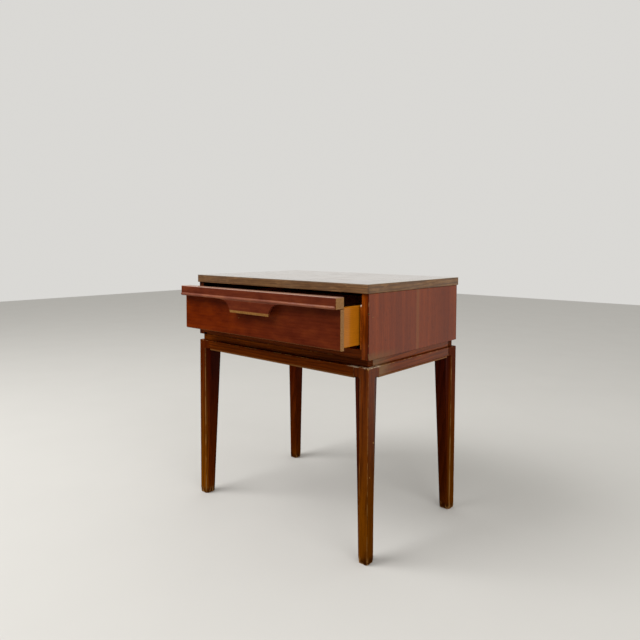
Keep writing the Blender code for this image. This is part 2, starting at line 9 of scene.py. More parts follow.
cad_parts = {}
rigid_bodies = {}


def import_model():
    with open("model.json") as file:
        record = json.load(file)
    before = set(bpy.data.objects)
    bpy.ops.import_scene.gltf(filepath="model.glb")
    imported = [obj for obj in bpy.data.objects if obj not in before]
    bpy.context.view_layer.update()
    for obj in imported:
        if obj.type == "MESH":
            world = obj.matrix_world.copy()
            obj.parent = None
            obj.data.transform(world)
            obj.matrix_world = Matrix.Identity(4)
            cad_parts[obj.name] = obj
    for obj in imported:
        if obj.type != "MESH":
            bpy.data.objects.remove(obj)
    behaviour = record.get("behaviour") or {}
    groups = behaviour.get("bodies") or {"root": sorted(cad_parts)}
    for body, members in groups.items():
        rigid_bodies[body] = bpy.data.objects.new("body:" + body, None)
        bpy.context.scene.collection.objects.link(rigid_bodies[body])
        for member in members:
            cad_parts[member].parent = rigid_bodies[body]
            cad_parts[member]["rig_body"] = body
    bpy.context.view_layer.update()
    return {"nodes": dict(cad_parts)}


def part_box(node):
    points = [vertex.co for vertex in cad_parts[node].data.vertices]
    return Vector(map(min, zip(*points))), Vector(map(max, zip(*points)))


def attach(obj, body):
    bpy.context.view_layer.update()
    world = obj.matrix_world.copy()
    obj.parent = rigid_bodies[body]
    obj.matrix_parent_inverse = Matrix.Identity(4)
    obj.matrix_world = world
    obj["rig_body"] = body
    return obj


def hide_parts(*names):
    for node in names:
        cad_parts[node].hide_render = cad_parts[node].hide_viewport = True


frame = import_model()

bl_info = {
    "name": "Bedside stand finisher",
    "version": (1, 0, 0),
    "blender": (4, 5, 0),
    "location": "3D View > Sidebar > Bedside stand",
    "description": "Gives a one-drawer bedside stand its eased edges, wood finishes, wear and stage",
    "category": "Object",
}

corners = ("front_left", "front_right", "back_right", "back_left")
sides = ("left", "right")

# The way the fibres run in the rail or band on each side of the stand.
grain_of = {"front": "X", "back": "X", "left": "Y", "right": "Y"}

# Weight of the polish, threshold of the edge wear and a factor on each leg's colour, painted shade set to
# how much light each leg gets.
leg_finish = {
    "front_right": (0.58, 0.45, 0.84),
    "front_left": (0.10, 0.53, 1.00),
    "back_right": (0.10, 0.53, 0.92),
    "back_left": (0.10, 0.53, 0.90),
}

# Where a tree's centre lies from the middle of a board, across it and through it.
oak_pith = (0.05, 0.09)
mahogany_pith = (0.03, 0.16)
front_pith = (0.04, 0.13)
leg_pith = (0.02, 0.05)
pine_pith = (0.085, 0.03)
rough_pith = (0.02, 0.06)
dowel_pith = (0.004, 0.003)

# How far a leg is drawn in by wear at its foot, at its outer arris and by its eased top.
foot_softening = 0.0011
foot_chips = 0.0035
arris_chips = 0.0009
top_easing = 0.0006

# Heights of a leg's worn foot and of its eased top.
worn_foot = 0.010
eased_top = 0.0008

# Faces that meet at less than flat_angle are one face, convex edges over eased_angle are
# rounded, and shading is smooth up to smooth_angle.
flat_angle = math.radians(0.5)
eased_angle = math.radians(38)
smooth_angle = math.radians(28)

# Edges with a radius under this one are rounded in two steps and the others in three.
fine_edge = 0.0002

# Where each soft light stands from the middle of the top, and how wide it is.
key_light = Vector((-1.3, -1.9, 2.3)), 2.0
fill_light = Vector((2.6, -0.9, 1.6)), 1.8

# How many steps the outlines of a leg are drawn with.
arris_steps = 3
flat_steps = 5
flute_steps = 12
shaft_steps = 30


# ---------------------------------------------------------------- what a user may change
def colour(name, description, default):
    """A colour property; the default is linear red, green, blue."""
    return FloatVectorProperty(
        name=name, description=description, default=default, subtype="COLOR", min=0.0, max=1.0
    )


def length(name, description, default):
    return FloatProperty(
        name=name, description=description, default=default, subtype="DISTANCE", unit="LENGTH"
    )


def share(name, description, default):
    return FloatProperty(
        name=name, description=description, default=default, subtype="FACTOR", min=0.0, max=1.0
    )


def power(name, description, default):
    return FloatProperty(name=name, description=description, default=default, min=0.0)


class StandColours(bpy.types.PropertyGroup):
    oak_light: colour("Oak light", "Pale bands of the top's oak print", (0.425, 0.218, 0.080))
    oak_dark: colour("Oak dark", "Dark streaks of the top's oak print", (0.125, 0.055, 0.019))
    panel_light: colour("Panel light", "Pale grain of the case's mahogany", (0.262, 0.045, 0.004))
    panel_dark: colour("Panel dark", "Dark grain of the case's mahogany", (0.158, 0.023, 0.0025))
    front_orange: colour("Front orange", "Stain at the front's left end", (0.152, 0.0175, 0.0002))
    front_red: colour("Front red", "Stain at the front's right end", (0.121, 0.0185, 0.005))
    pull_red: colour("Pull red", "Stain of the drawer's pull rail", (0.162, 0.031, 0.012))
    bottom_light: colour("Bottom light", "Pale grain of the case bottom's edge", (0.150, 0.027, 0.001))
    leg_light: colour("Leg light", "Pale grain of the leg frame", (0.225, 0.043, 0.001))
    leg_dark: colour("Leg dark", "Dark grain of the leg frame", (0.065, 0.010, 0.0005))
    lipping_light: colour("Lipping light", "Pale grain of the panels' front lipping", (0.250, 0.050, 0.002))
    lipping_dark: colour("Lipping dark", "Dark grain of the panels' front lipping", (0.075, 0.011, 0.0005))
    rubbed_stain: colour("Rubbed stain", "Stain thinned along the lower edges", (0.170, 0.090, 0.028))
    strip_light: colour("Strip light", "Pale grain of the guide strips", (0.600, 0.140, 0.012))
    pine_light: colour("Pine light", "Early wood of the drawer sides", (0.530, 0.172, 0.005))
    pine_dark: colour("Pine dark", "Late wood of the drawer sides", (0.260, 0.066, 0.003))
    # Also painted highlight along the laminate's rim and on the guide strips' noses, and the pale filler at
    # the near leg's top.
    skin_edge: colour("Skin edge", "Pale cut edge of the top's laminate skin", (0.700, 0.600, 0.460))
    back_light: colour("Back light", "Pale chips of the hardboard back", (0.110, 0.068, 0.040))
    back_dark: colour("Back dark", "Dark chips of the hardboard back", (0.055, 0.032, 0.018))
    cleat_light: colour("Cleat light", "Pale grain of the rough wood inside", (0.200, 0.120, 0.060))
    cleat_dark: colour("Cleat dark", "Dark grain of the rough wood inside", (0.110, 0.060, 0.028))
    # Painted shade: a near-black colour laid where the inside of the case lies in shade.
    inside: colour("Inside", "Dull unpolished wood inside the case", (0.005, 0.0045, 0.0045))
    # Painted highlight: pale colour laid along the top of the pull rail where it catches the light.
    pull_top_highlight: colour("Bloom", "Rubbed polish along the top of the pull rail", (0.500, 0.320, 0.240))
    grime: colour("Grime", "Washed-out stain at the front of the side rails", (0.250, 0.140, 0.060))
    # Also laid on as painted highlight along the rails' coved lower edges, the legs' arrises and the drawer
    # plate's foot.
    bare_wood_and_highlight: colour("Bare wood", "Wood where the stain is worn off", (0.350, 0.180, 0.055))
    steel: colour("Steel", "Plain screws", (0.470, 0.430, 0.360))
    floor: colour("Floor", "Pale studio floor", (0.600, 0.588, 0.560))
    backdrop: colour("Backdrop", "Light that surrounds the stand", (0.700, 0.690, 0.665))


class StandSizes(bpy.types.PropertyGroup):
    easing: length("Easing", "Radius on the boards' edges", 0.0007)
    fine_easing: length("Fine easing", "Radius on thin strips and skins", 0.0003)
    wear: length("Edge wear", "How far worn stain reaches from an edge", 0.0011)
    oak_ring: length("Oak ring", "Growth ring spacing of the oak print", 0.0042)
    mahogany_ring: length("Mahogany ring", "Growth ring spacing of the mahogany", 0.0065)
    leg_ring: length("Leg ring", "Growth ring spacing of the leg frame", 0.0052)
    pine_ring: length("Pine ring", "Growth ring spacing of the drawer sides", 0.0042)
    leg_foot: length("Leg foot", "Width of a leg at the floor", 0.0254)
    leg_straight: length("Leg straight", "Height of a leg's upright top part", 0.024)
    leg_edge: length("Leg edge", "Radius on a leg's outer edge", 0.0018)
    flute_margin: length("Flute margin", "Flat left beside each flute", 0.021)
    flute_depth: length("Flute depth", "Depth of a leg's flute", 0.0068)
    flute_end: length("Flute end", "Distance from the leg's top to the flute's end", 0.020)
    flute_round: length("Flute round", "Rounding of the flute's end", 0.005)


class StandStage(bpy.types.PropertyGroup):
    lens: FloatProperty(name="Lens", description="Focal length in millimetres", default=32.53, min=10.0)
    shift_y: FloatProperty(name="Shift", description="Vertical shift of the lens", default=-0.0713)
    place: FloatVectorProperty(
        name="Place",
        description="Camera's place from the middle of the top",
        default=(0.9425, -1.0938, 0.0763),
        subtype="TRANSLATION",
        unit="LENGTH",
    )
    turn: FloatVectorProperty(
        name="Turn",
        description="Camera's tilt down, roll and turn to the left",
        default=(math.radians(2.888), math.radians(0.206), math.radians(41.20)),
        subtype="EULER",
    )
    key_power: power("Key", "Power of the main soft light in watts", 90.0)
    fill_power: power("Fill", "Power of the weaker soft light in watts", 24.0)
    surround: share("Surround", "Strength of the light from all round", 1.0)


# ---------------------------------------------------------------- material arithmetic
class Link:
    """An output socket that takes part in arithmetic; every step adds its node."""

    def __init__(self, finish, socket):
        self.finish = finish
        self.socket = socket

    def step(self, operation, first, second):
        vector = any(isinstance(side, Link) and side.socket.type == "VECTOR" for side in (first, second))
        if not vector:
            return self.finish.reckon(operation, first, second)
        first, second = (
            side if isinstance(side, (Link, tuple)) else (side, side, side) for side in (first, second)
        )
        return self.finish.node("ShaderNodeVectorMath", {"operation": operation}, {0: first, 1: second})

    def __add__(self, other):
        return self.step("ADD", self, other)

    def __radd__(self, other):
        return self.step("ADD", other, self)

    def __sub__(self, other):
        return self.step("SUBTRACT", self, other)

    def __rsub__(self, other):
        return self.step("SUBTRACT", other, self)

    def __mul__(self, other):
        return self.step("MULTIPLY", self, other)

    def __rmul__(self, other):
        return self.step("MULTIPLY", other, self)

    def ramp(self, low, high):
        """0 below low, 1 above high and smooth between; high may be the smaller one."""
        sockets = {"Value": self, "From Min": low, "From Max": high}
        return self.finish.node("ShaderNodeMapRange", {"interpolation_type": "SMOOTHSTEP"}, sockets)


class Finish:
    """A material or a world: its nodes are added by method calls and by arithmetic on links."""

    def __init__(self, owner, shader="Principled BSDF"):
        if isinstance(owner, str):
            owner = bpy.data.materials.new(owner)
        owner.use_nodes = True
        self.owner = owner
        self.nodes = owner.node_tree.nodes
        self.links = owner.node_tree.links
        self.shader = self.nodes[shader]

    def node(self, kind, settings, sockets, output=0):
        """Add a node, apply its settings, then fill its sockets with values or links."""
        made = self.nodes.new(kind)
        for setting, value in settings.items():
            setattr(made, setting, value)
        for key, value in sockets.items():
            self.fill(made.inputs[key], value)
        return Link(self, made.outputs[output])

    def fill(self, socket, value):
        if isinstance(value, Link):
            self.links.new(value.socket, socket)
        elif socket.type == "RGBA":
            socket.default_value = (*value[:3], 1.0)
        else:
            socket.default_value = value

    def surface(self, **values):
        """Fill the shader's sockets; an underscore in a key stands for a space."""
        for key, value in values.items():
            self.fill(self.shader.inputs[key.replace("_", " ")], value)
        return self.owner

    def coated(self, base, roughness, relief, coat, coat_roughness=0.2, specular=0.0):
        """A surface whose gloss comes mostly from its coat of polish."""
        return self.surface(
            Base_Color=base,
            Roughness=roughness,
            Normal=relief,
            Specular_IOR_Level=specular,
            Coat_Weight=coat,
            Coat_Roughness=coat_roughness,
        )

    def place(self, kind="Object"):
        """The surface point's own coordinates, as three links."""
        spot = self.node("ShaderNodeTexCoord", {}, {}, kind)
        return [self.node("ShaderNodeSeparateXYZ", {}, {0: spot}, axis) for axis in range(3)]

    def noise(self, place, detail=2.0, roughness=0.5):
        """Noise from 0 to 1; its cells are one unit of the three coordinates across."""
        spot = self.node("ShaderNodeCombineXYZ", {}, dict(enumerate(place)))
        sockets = {"Vector": spot, "Scale": 1.0, "Detail": detail, "Roughness": roughness}
        return self.node("ShaderNodeTexNoise", {}, sockets)

    def mix(self, factor, first, second):
        """Colour between two colours."""
        sockets = {0: factor, 6: first, 7: second}
        return self.node("ShaderNodeMix", {"data_type": "RGBA"}, sockets, 2)

    def tint(self, first, second, factor=1.0):
        """One colour multiplied by another."""
        sockets = {0: factor, 6: first, 7: second}
        return self.node("ShaderNodeMix", {"data_type": "RGBA", "blend_type": "MULTIPLY"}, sockets, 2)

    def reckon(self, operation, *values):
        return self.node("ShaderNodeMath", {"operation": operation}, dict(enumerate(values)))

    def least(self, first, second):
        return self.reckon("MINIMUM", first, second)

    def most(self, first, second):
        return self.reckon("MAXIMUM", first, second)

    def bump(self, height, distance, strength=1.0):
        sockets = {"Height": height, "Distance": distance, "Strength": strength}
        return self.node("ShaderNodeBump", {}, sockets, "Normal")


def shade(tone, amount):
    """A colour made darker by one factor."""
    return tuple(amount * channel for channel in tone)


# ---------------------------------------------------------------- damage
def splinters():
    """Place and size of each splinter broken out, by node, from the pieces' own boxes."""
    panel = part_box("side_panel_right")
    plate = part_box("drawer_front_plate")
    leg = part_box("leg_front_right")
    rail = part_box("frame_rail_right")
    left_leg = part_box("leg_front_left")
    face = leg[1].x
    front = leg[0].y
    return {
        "side_panel_right": [
            (face, panel[0].y, panel[1].z - 0.040, 0.0019),
            (face, panel[0].y + 0.014, panel[1].z - 0.047, 0.0010),
            (face, panel[0].y, panel[0].z + 0.012, 0.0014),
        ],
        "drawer_front_plate": [
            (-0.050, plate[0].y, plate[1].z - 0.0405, 0.0011),
            (plate[1].x, plate[0].y, plate[0].z, 0.0024),
        ],
        "leg_front_right": [
            (face + 0.0003, leg[0].y + 0.019, 0.248, 0.0017),
            (face + 0.0002, leg[0].y + 0.007, 0.180, 0.0013),
            (face, front, leg[1].z, 0.0032),
            (face - 0.010, front - 0.0002, leg[1].z, 0.0016),
            (face, front + 0.003, 0.0, 0.0030),
        ],
        "leg_front_left": [
            (left_leg[0].x + 0.014, front, left_leg[1].z, 0.0015),
            (left_leg[0].x, front, 0.0, 0.0030),
        ],
        "frame_rail_right": [
            (face + 0.0003, rail[0].y, rail[1].z - 0.004, 0.0016),
            (face + 0.0003, rail[0].y + 0.0015, rail[1].z - 0.009, 0.0012),
        ],
    }


def broken(finish, node):
    """1 inside the splinters broken out of a piece, where bare wood shows."""
    place = finish.node("ShaderNodeTexCoord", {}, {}, "Object")
    mask = 0.0
    for *centre, size in splinters().get(node, ()):
        ends = {0: place, 1: centre}
        away = finish.node("ShaderNodeVectorMath", {"operation": "DISTANCE"}, ends, 1)
        mask = finish.most(mask, away.ramp(size * 1.35, size * 0.95))
    return mask


# ---------------------------------------------------------------- wood
def lumber(finish, node, grain, spacing, pith, swirl=0.0):
    """Late wood, fibre, pore and slow tone of a board whose fibres run along one axis.

    pith is the tree's centre, across and through the board from the board's own middle,
    and swirl is how far short waves push the rings aside.
    """
    seed = seed_of(node)
    low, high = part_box(node)
    middle = (low + high) / 2
    spot = finish.place()
    turn = "XYZ".index(grain)
    order = [(turn + step) % 3 for step in range(3)]
    along = spot[order[0]] + 0.41 * seed
    across = spot[order[1]] - (middle[order[1]] + pith[0])
    depth = spot[order[2]] - (middle[order[2]] + pith[1])
    slow = finish.noise((along * 2.2, across * 14.0 + seed, depth * 14.0), 2.0)
    sway = finish.noise((along * 3.2, across * 15.0 + seed, depth * 15.0), 3.0, 0.55) - 0.5
    radius = finish.reckon("SQRT", across * across + depth * depth) + sway * (spacing * 3.4) + along * 0.012
    if swirl:
        waves = finish.noise((along * 24.0, across * 16.0 + seed, depth * 16.0), 1.0)
        radius = radius + (waves - 0.5) * swirl
    ring = finish.reckon("FRACT", radius * (1.0 / spacing))
    late = ring.ramp(0.2, 0.88) * ring.ramp(1.0, 0.93)
    fibre = finish.noise((along * 16.0, across * 560.0 + seed, depth * 560.0), 4.0, 0.65)
    vessel = finish.noise((along * 75.0, across * 1500.0, depth * 1500.0 + seed), 1.0)
    pore = vessel.ramp(0.60, 0.70)
    return late, fibre, pore, slow


def edge_distance(finish, node):
    """Distance from a surface point to the nearest edge of the node's own box."""
    low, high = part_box(node)
    spot = finish.place()
    a, b, c = (finish.least(spot[i] - low[i], high[i] - spot[i]) for i in range(3))
    return finish.most(finish.least(a, b), finish.least(finish.most(a, b), c))


def rubbed_edges(finish, node, reach, low=0.50, high=0.60):
    """1 where an edge has lost its stain, in patches along the edge."""
    x, y, z = finish.place()
    patches = finish.noise((x * 55.0, y * 55.0, z * 55.0), 4.0, 0.6)
    return edge_distance(finish, node).ramp(reach, reach * 0.35) * patches.ramp(low, high)


def smudges(finish, seed):
    """Slow 0 to 1 pattern of handling marks and dulled polish."""
    x, y, z = finish.place()
    return finish.noise((x * 21.0 + seed, y * 21.0, z * 21.0), 4.0, 0.6)


def flecks(finish, seed, density=0.73):
    """Small dark specks and bruises."""
    x, y, z = finish.place()
    grains = finish.noise((x * 330.0 + seed, y * 330.0, z * 150.0), 1.0)
    return grains.ramp(density, density + 0.05)


def stained(finish, light, dark, fields, figure=0.6, threads=0.4):
    """Colour of stained wood from its late wood, fibre, pore and slow tone."""
    late, fibre, pore, slow = fields
    amount = late * figure + fibre.ramp(0.35, 0.68) * threads
    base = finish.mix(amount, light, dark)
    base = finish.mix(slow.ramp(0.32, 0.70) * 0.55, base, dark)
    return finish.mix(pore * 0.55, base, shade(dark, 0.35))


def grain_relief(finish, fields, depth):
    """Fibre and pore relief for the shader's normal."""
    late, fibre, pore = fields[:3]
    return finish.bump(fibre * 0.6 + late * 0.25 - pore * 0.8, depth, 0.7)


def dulling(finish, seed):
    """1 where handling has dulled the polish."""
    return smudges(finish, seed).ramp(0.35, 0.75)


def seed_of(node):
    """A board's own small number, the same on every run."""
    return sum((place + 1) * ord(letter) for place, letter in enumerate(node)) % 89 * 0.173


def chosen():
    """The colours and sizes as they are set in the scene."""
    scene = bpy.context.scene
    return scene.stand_colours, scene.stand_sizes


def begin(kind, node):
    """A node's material, its seed, the two corners of its box and its coordinates."""
    finish = Finish(f"{kind}_{node}")
    return finish, seed_of(node), *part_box(node), *finish.place()


def oak_print(node, grain, polish):
    """The top's grey-brown oak pattern, under polish on the flat and satin on the bands."""
    colours, sizes = chosen()
    finish, seed, low, high, x, y, z = begin("oak_print", node)
    fields = lumber(finish, node, grain, sizes.oak_ring, oak_pith)
    base = stained(finish, colours.oak_light, colours.oak_dark, fields, 0.45, 0.75)
    run, over = (x, y) if grain == "X" else (y, x)
    dashes = finish.noise((run * 95.0, (z + over * 0.2) * 430.0, seed), 3.0, 0.7)
    clouds = finish.noise((run * 38.0, (z + over * 0.2) * 130.0, seed), 3.0, 0.6)
    base = finish.mix(dashes.ramp(0.52, 0.66) * 0.6, base, colours.oak_dark)
    base = finish.mix(clouds.ramp(0.45, 0.70) * 0.45, base, colours.oak_dark)
    base = finish.mix(clouds.ramp(0.45, 0.30) * 0.35, base, colours.oak_light)
    if polish:
        base = finish.tint(base, (0.76, 0.75, 0.70))
        # Painted highlight: a pale line along the laminate's rim.
        rim = finish.least(finish.least(x - low.x, high.x - x), finish.least(y - low.y, high.y - y))
        base = finish.mix(rim.ramp(0.0012, 0.0004) * 0.55, base, colours.skin_edge)
        rings = finish.noise((x * 7.0, y * 7.0, z), 3.0, 0.7)
        gloss = 0.10 + dulling(finish, seed) * 0.10 + rings.ramp(0.5, 0.7) * 0.04
        relief = finish.bump(smudges(finish, seed) * 0.5 + fields[1] * 0.5, 0.00001, 0.3)
        return finish.surface(
            Base_Color=base, Roughness=gloss, Normal=relief, Coat_Weight=0.80, Coat_Roughness=0.05
        )
    rub = rubbed_edges(finish, node, sizes.wear)
    base = finish.mix(rub * 0.5, base, shade(colours.oak_dark, 0.5))
    gloss = 0.40 + dulling(finish, seed) * 0.18
    return finish.surface(Base_Color=base, Roughness=gloss, Normal=grain_relief(finish, fields, 0.00008))


def mahogany(node, grain, light, dark, figure=0.5, faced=False):
    """Red-brown stained panel; a faced one is a side of the case."""
    colours, sizes = chosen()
    finish = Finish(f"mahogany_{node}")
    seed = seed_of(node)
    fields = lumber(finish, node, grain, sizes.mahogany_ring, mahogany_pith)
    base = stained(finish, light, dark, fields, figure, 0.34)
    polish = 0.35
    if faced:
        base, polish = panel_face(finish, node, base, dark, fields[1])
    base = finish.mix(flecks(finish, seed) * 0.7, base, shade(dark, 0.2))
    rub = rubbed_edges(finish, node, sizes.wear, 0.55, 0.63) * 0.7
    rub = finish.most(rub, broken(finish, node))
    base = finish.mix(rub, base, colours.bare_wood_and_highlight)
    gloss = 0.30 + dulling(finish, seed) * 0.16 + rub * 0.2
    return finish.coated(base, gloss, grain_relief(finish, fields, 0.00007), polish)


def panel_face(finish, node, base, dark, fibre):
    """Colour and coat weight of a side panel.

    It has veneer leaves with a pale joint halfway, soiling along its foot, a lipping in
    front that is orange inside and dark outside, darkened on the left panel as painted shade,
    and painted shade, a near-black colour with no coat, on its face inside the case.
    """
    colours = bpy.context.scene.stand_colours
    seed = seed_of(node)
    low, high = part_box(node)
    x, y, z = finish.place()
    joint = low.y + 0.505 * (high.y - low.y)
    waver = (finish.noise((y * 2.0, z * 9.0, seed), 1.0) - 0.5) * 0.002
    off = y + waver - joint
    leaves = finish.noise((y * 48.0, z * 1.5, seed))
    base = finish.tint(base, (0.84, 0.82, 0.84), leaves.ramp(0.55, 0.38))
    base = finish.tint(base, (1.12, 1.16, 1.10), leaves.ramp(0.50, 0.68))
    stripe = (off * off).ramp(0.0078**2, 0.0030**2)
    base = finish.mix(stripe * (0.08 + 0.20 * fibre), base, colours.bare_wood_and_highlight)
    soiled = finish.noise((y * 30.0, z * 60.0, seed), 3.0, 0.6)
    foot = (z + (soiled - 0.5) * 0.03).ramp(low.z + 0.018, low.z + 0.002)
    near = y.ramp(low.y + 0.14, low.y)
    base = finish.mix(foot * near * 0.6, base, colours.rubbed_stain)
    outer = high.x - x if node.endswith("right") else x - low.x
    streak = finish.noise((x * 900.0, y, z * 22.0), 3.0, 0.6)
    edging = finish.mix(streak.ramp(0.35, 0.65), colours.lipping_light, colours.lipping_dark)
    edging = finish.tint(edging, (1.60, 1.60, 1.50), outer.ramp(0.0080, 0.0110))
    edging = finish.tint(edging, (0.80, 0.55, 0.60), outer.ramp(0.0080, 0.0045))
    # Painted shade: the left panel's lipping, between the top and the pull rail, is darkened.
    if node.endswith("left"):
        edging = finish.tint(edging, (0.30, 0.25, 0.30))
    edging = finish.mix(outer.ramp(0.0030, 0.0018), edging, shade(dark, 0.5))
    base = finish.mix(y.ramp(low.y + 0.0011, low.y + 0.0008), base, edging)
    # Painted shade: the face inside the case is near-black and has no coat.
    thickness = high.x - low.x
    inner = outer.ramp(thickness - 0.0012, thickness - 0.0005)
    base = finish.mix(inner, base, colours.inside)
    polish = 0.74 - y.ramp(low.y + 0.08, high.y) * 0.16
    return base, polish * (1.0 - inner)


def guide_strip(node):
    """Orange hardwood strip, with a painted highlight on its rounded nose and painted shade, near-black,
    where it reaches into the case.
    """
    colours, sizes = chosen()
    finish, seed, low, high, _, y, z = begin("guide_strip", node)
    fields = lumber(finish, node, "Y", sizes.mahogany_ring, mahogany_pith)
    base = stained(finish, colours.strip_light, colours.leg_light, fields, 0.5, 0.45)
    # Painted shade: the strip turns near-black where it reaches into the case.
    base = finish.mix(y.ramp(low.y + 0.0015, low.y + 0.009), base, colours.inside)
    # Painted highlight: pale colour on the rounded nose at the strip's top front corner.
    front = y.ramp(low.y + 0.0045, low.y + 0.0020)
    nose = front * z.ramp(high.z - 0.0050, high.z - 0.0030)
    base = finish.mix(nose * (0.5 + 0.5 * fields[1]), base, colours.skin_edge)
    gloss = 0.36 + dulling(finish, seed) * 0.14
    return finish.coated(base, gloss, grain_relief(finish, fields, 0.00006), 0.3)


def drawer_front(node, left, right):
    """Stain of the glossy front, its bare wood, where that shows, and its grain.

    The stain shifts from left to right, and the sawn ends are bare.
    """
    colours, sizes = chosen()
    finish, seed, low, high, x, y, z = begin("drawer_front", node)
    fields = lumber(finish, node, "X", sizes.mahogany_ring, front_pith)
    late, fibre, pore, slow = fields
    shift = (x + (smudges(finish, seed + 4.0) - 0.5) * 0.18).ramp(low.x, high.x * 0.7)
    light = finish.mix(shift, left, right)
    dark = finish.tint(light, (0.52, 0.42, 0.38))
    base = finish.mix(late * 0.18 + fibre.ramp(0.35, 0.7) * 0.24, light, dark)
    base = finish.mix(slow.ramp(0.35, 0.72) * 0.50, base, dark)
    base = finish.mix(pore * 0.25, base, shade(right, 0.25))
    clouds = finish.noise((x * 22.0, z * 60.0, y * 60.0 + seed), 3.0, 0.55)
    base = finish.tint(base, (1.35, 1.55, 1.3), clouds.ramp(0.45, 0.75))
    base = finish.tint(base, (0.74, 0.68, 0.7), clouds.ramp(0.5, 0.25))
    endgrain = finish.noise((x * 300.0, y * 260.0, z * 420.0 + seed), 3.0, 0.6)
    bare = finish.mix(fibre.ramp(0.3, 0.7) * 0.4, colours.bare_wood_and_highlight, colours.pine_dark)
    bare = finish.tint(bare, (0.66, 0.62, 0.50), endgrain.ramp(0.42, 0.66))
    sawn = finish.least(x - low.x, high.x - x).ramp(0.0007, 0.0003)
    worn = finish.most(sawn, rubbed_edges(finish, node, sizes.wear) * 0.75)
    return finish, base, bare, finish.most(worn, broken(finish, node)), fields


def drawer_front_plate(node):
    """The plate below the pull rail, with a painted highlight along its foot, laid on as bare wood."""
    colours = bpy.context.scene.stand_colours
    finish, base, bare, worn, fields = drawer_front(node, colours.front_orange, colours.front_red)
    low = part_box(node)[0].z
    # Painted highlight: a thin pale line along the plate's foot, laid on as bare wood.
    foot = finish.place()[2].ramp(low + 0.0032, low + 0.0012)
    worn = finish.most(worn, foot * (0.14 + 0.25 * fields[1]))
    base = finish.mix(worn, base, bare)
    gloss = 0.24 + dulling(finish, 3.0) * 0.14 + worn * 0.3
    return finish.coated(base, gloss, grain_relief(finish, fields, 0.00004), 0.6, 0.12)


def drawer_pull(node):
    """The pull rail, with painted highlights along its bead and top, bare along the foot of its tongue."""
    colours = bpy.context.scene.stand_colours
    finish, base, bare, worn, fields = drawer_front(node, colours.pull_red, colours.pull_red)
    fibre = fields[1]
    low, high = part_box(node)
    x, y, z = finish.place()
    foot = (z + (fibre - 0.5) * 0.0006).ramp(low.z + 0.0058, low.z + 0.0053)
    worn = finish.most(worn, foot * y.ramp(low.y + 0.0045, low.y + 0.0040))
    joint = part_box("drawer_front_plate")[1].z
    # Painted highlight: the bead is made paler, with less coat.
    bead = y.ramp(low.y + 0.0036, low.y + 0.0028) * z.ramp(joint - 0.0010, joint + 0.0004)
    base = finish.mix(bead * (0.35 + 0.35 * fibre), base, finish.tint(base, (2.5, 5.2, 8.5)))
    base = finish.mix(worn, base, bare)
    # Painted highlight: pale colour along the top edge of the pull rail, fading towards the back.
    patches = finish.noise((x * 26.0, y * 60.0, 3.0), 4.0, 0.6)
    fading = 1.0 - (y + patches * 0.012).ramp(low.y + 0.010, low.y + 0.030) * 0.6
    top_highlight = z.ramp(high.z - 0.0009, high.z - 0.0004) * fading
    base = finish.mix(top_highlight * (0.50 + 0.55 * fibre), base, colours.pull_top_highlight)
    gloss = 0.22 + dulling(finish, 7.0) * 0.14 + worn * 0.3
    return finish.coated(base, gloss, grain_relief(finish, fields, 0.00004), 0.6 - bead * 0.3, 0.12)


def leg_wood(node, grain, corner=None, polish=0.1, rubbed=0.51, tone=1.0):
    """Dark stained wood of the legs, rails and plinth, rubbed bare at edges and feet.

    polish is the coat's weight, tone scales the colour as painted light and shade for how the piece is lit,
    and a lower rubbed wears more edge.
    """
    colours, sizes = chosen()
    finish, seed, low, high, x, y, z = begin("leg_wood", node)
    fields = lumber(finish, node, grain, sizes.leg_ring, leg_pith)
    base = stained(finish, colours.leg_light, colours.leg_dark, fields, 0.45, 0.5)
    base = finish.tint(base, (tone, tone, tone))
    base = finish.mix(flecks(finish, seed, 0.74) * 0.6, base, shade(colours.leg_dark, 0.3))
    scuffs = finish.noise((x * 70.0, y * 70.0, z * 16.0), 4.0, 0.65)
    worn = rubbed_edges(finish, node, sizes.wear, rubbed, rubbed + 0.09) * 0.8
    # Painted highlight: a pale line along the rail's coved lower edge, in bare-wood colour.
    if node.startswith("frame_rail"):
        cove = z.ramp(low.z + 0.0048, low.z + 0.0022)
        base = finish.mix(cove * (0.22 + 0.25 * fields[1]), base, colours.bare_wood_and_highlight)
    if not corner and grain == "Y":
        washed = finish.noise((y * 35.0, z * 60.0, seed), 3.0, 0.6)
        near = (y + (washed - 0.5) * 0.05).ramp(low.y + 0.075, low.y + 0.005)
        base = finish.mix(near * 0.75, base, finish.tint(colours.grime, (0.8, 0.8, 0.8), washed))
    # Painted light: the front plinth rail is made paler towards its left end.
    if node == "plinth_front":
        base = finish.tint(base, (2.10, 2.30, 1.80), x.ramp(high.x - 0.02, -0.10))
    if corner:
        base, worn = aged_leg(finish, node, corner, base, worn, scuffs)
        polish = z.ramp(0.12, 0.38) * polish
    worn = finish.most(worn, broken(finish, node))
    base = finish.mix(worn, base, colours.bare_wood_and_highlight)
    if node in ("leg_front_right", "frame_rail_front", "frame_rail_right"):
        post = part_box("leg_front_right")
        close = x.ramp(post[0].x - 0.022, post[0].x) * y.ramp(post[1].y + 0.008, post[1].y)
        jagged = z + (scuffs - 0.5) * 0.006
        cracked = jagged.ramp(post[1].z - 0.0018, post[1].z - 0.0008) * close
        patches = finish.noise((x * 130.0, y * 130.0, 2.0), 3.0, 0.7).ramp(0.38, 0.56)
        filler = finish.tint(colours.skin_edge, (0.86, 0.80, 0.72))
        base = finish.mix(cracked * patches * 0.75, base, filler)
    gloss = 0.30 + dulling(finish, seed) * 0.16 + worn * 0.25
    return finish.coated(base, gloss, grain_relief(finish, fields, 0.00006), polish)


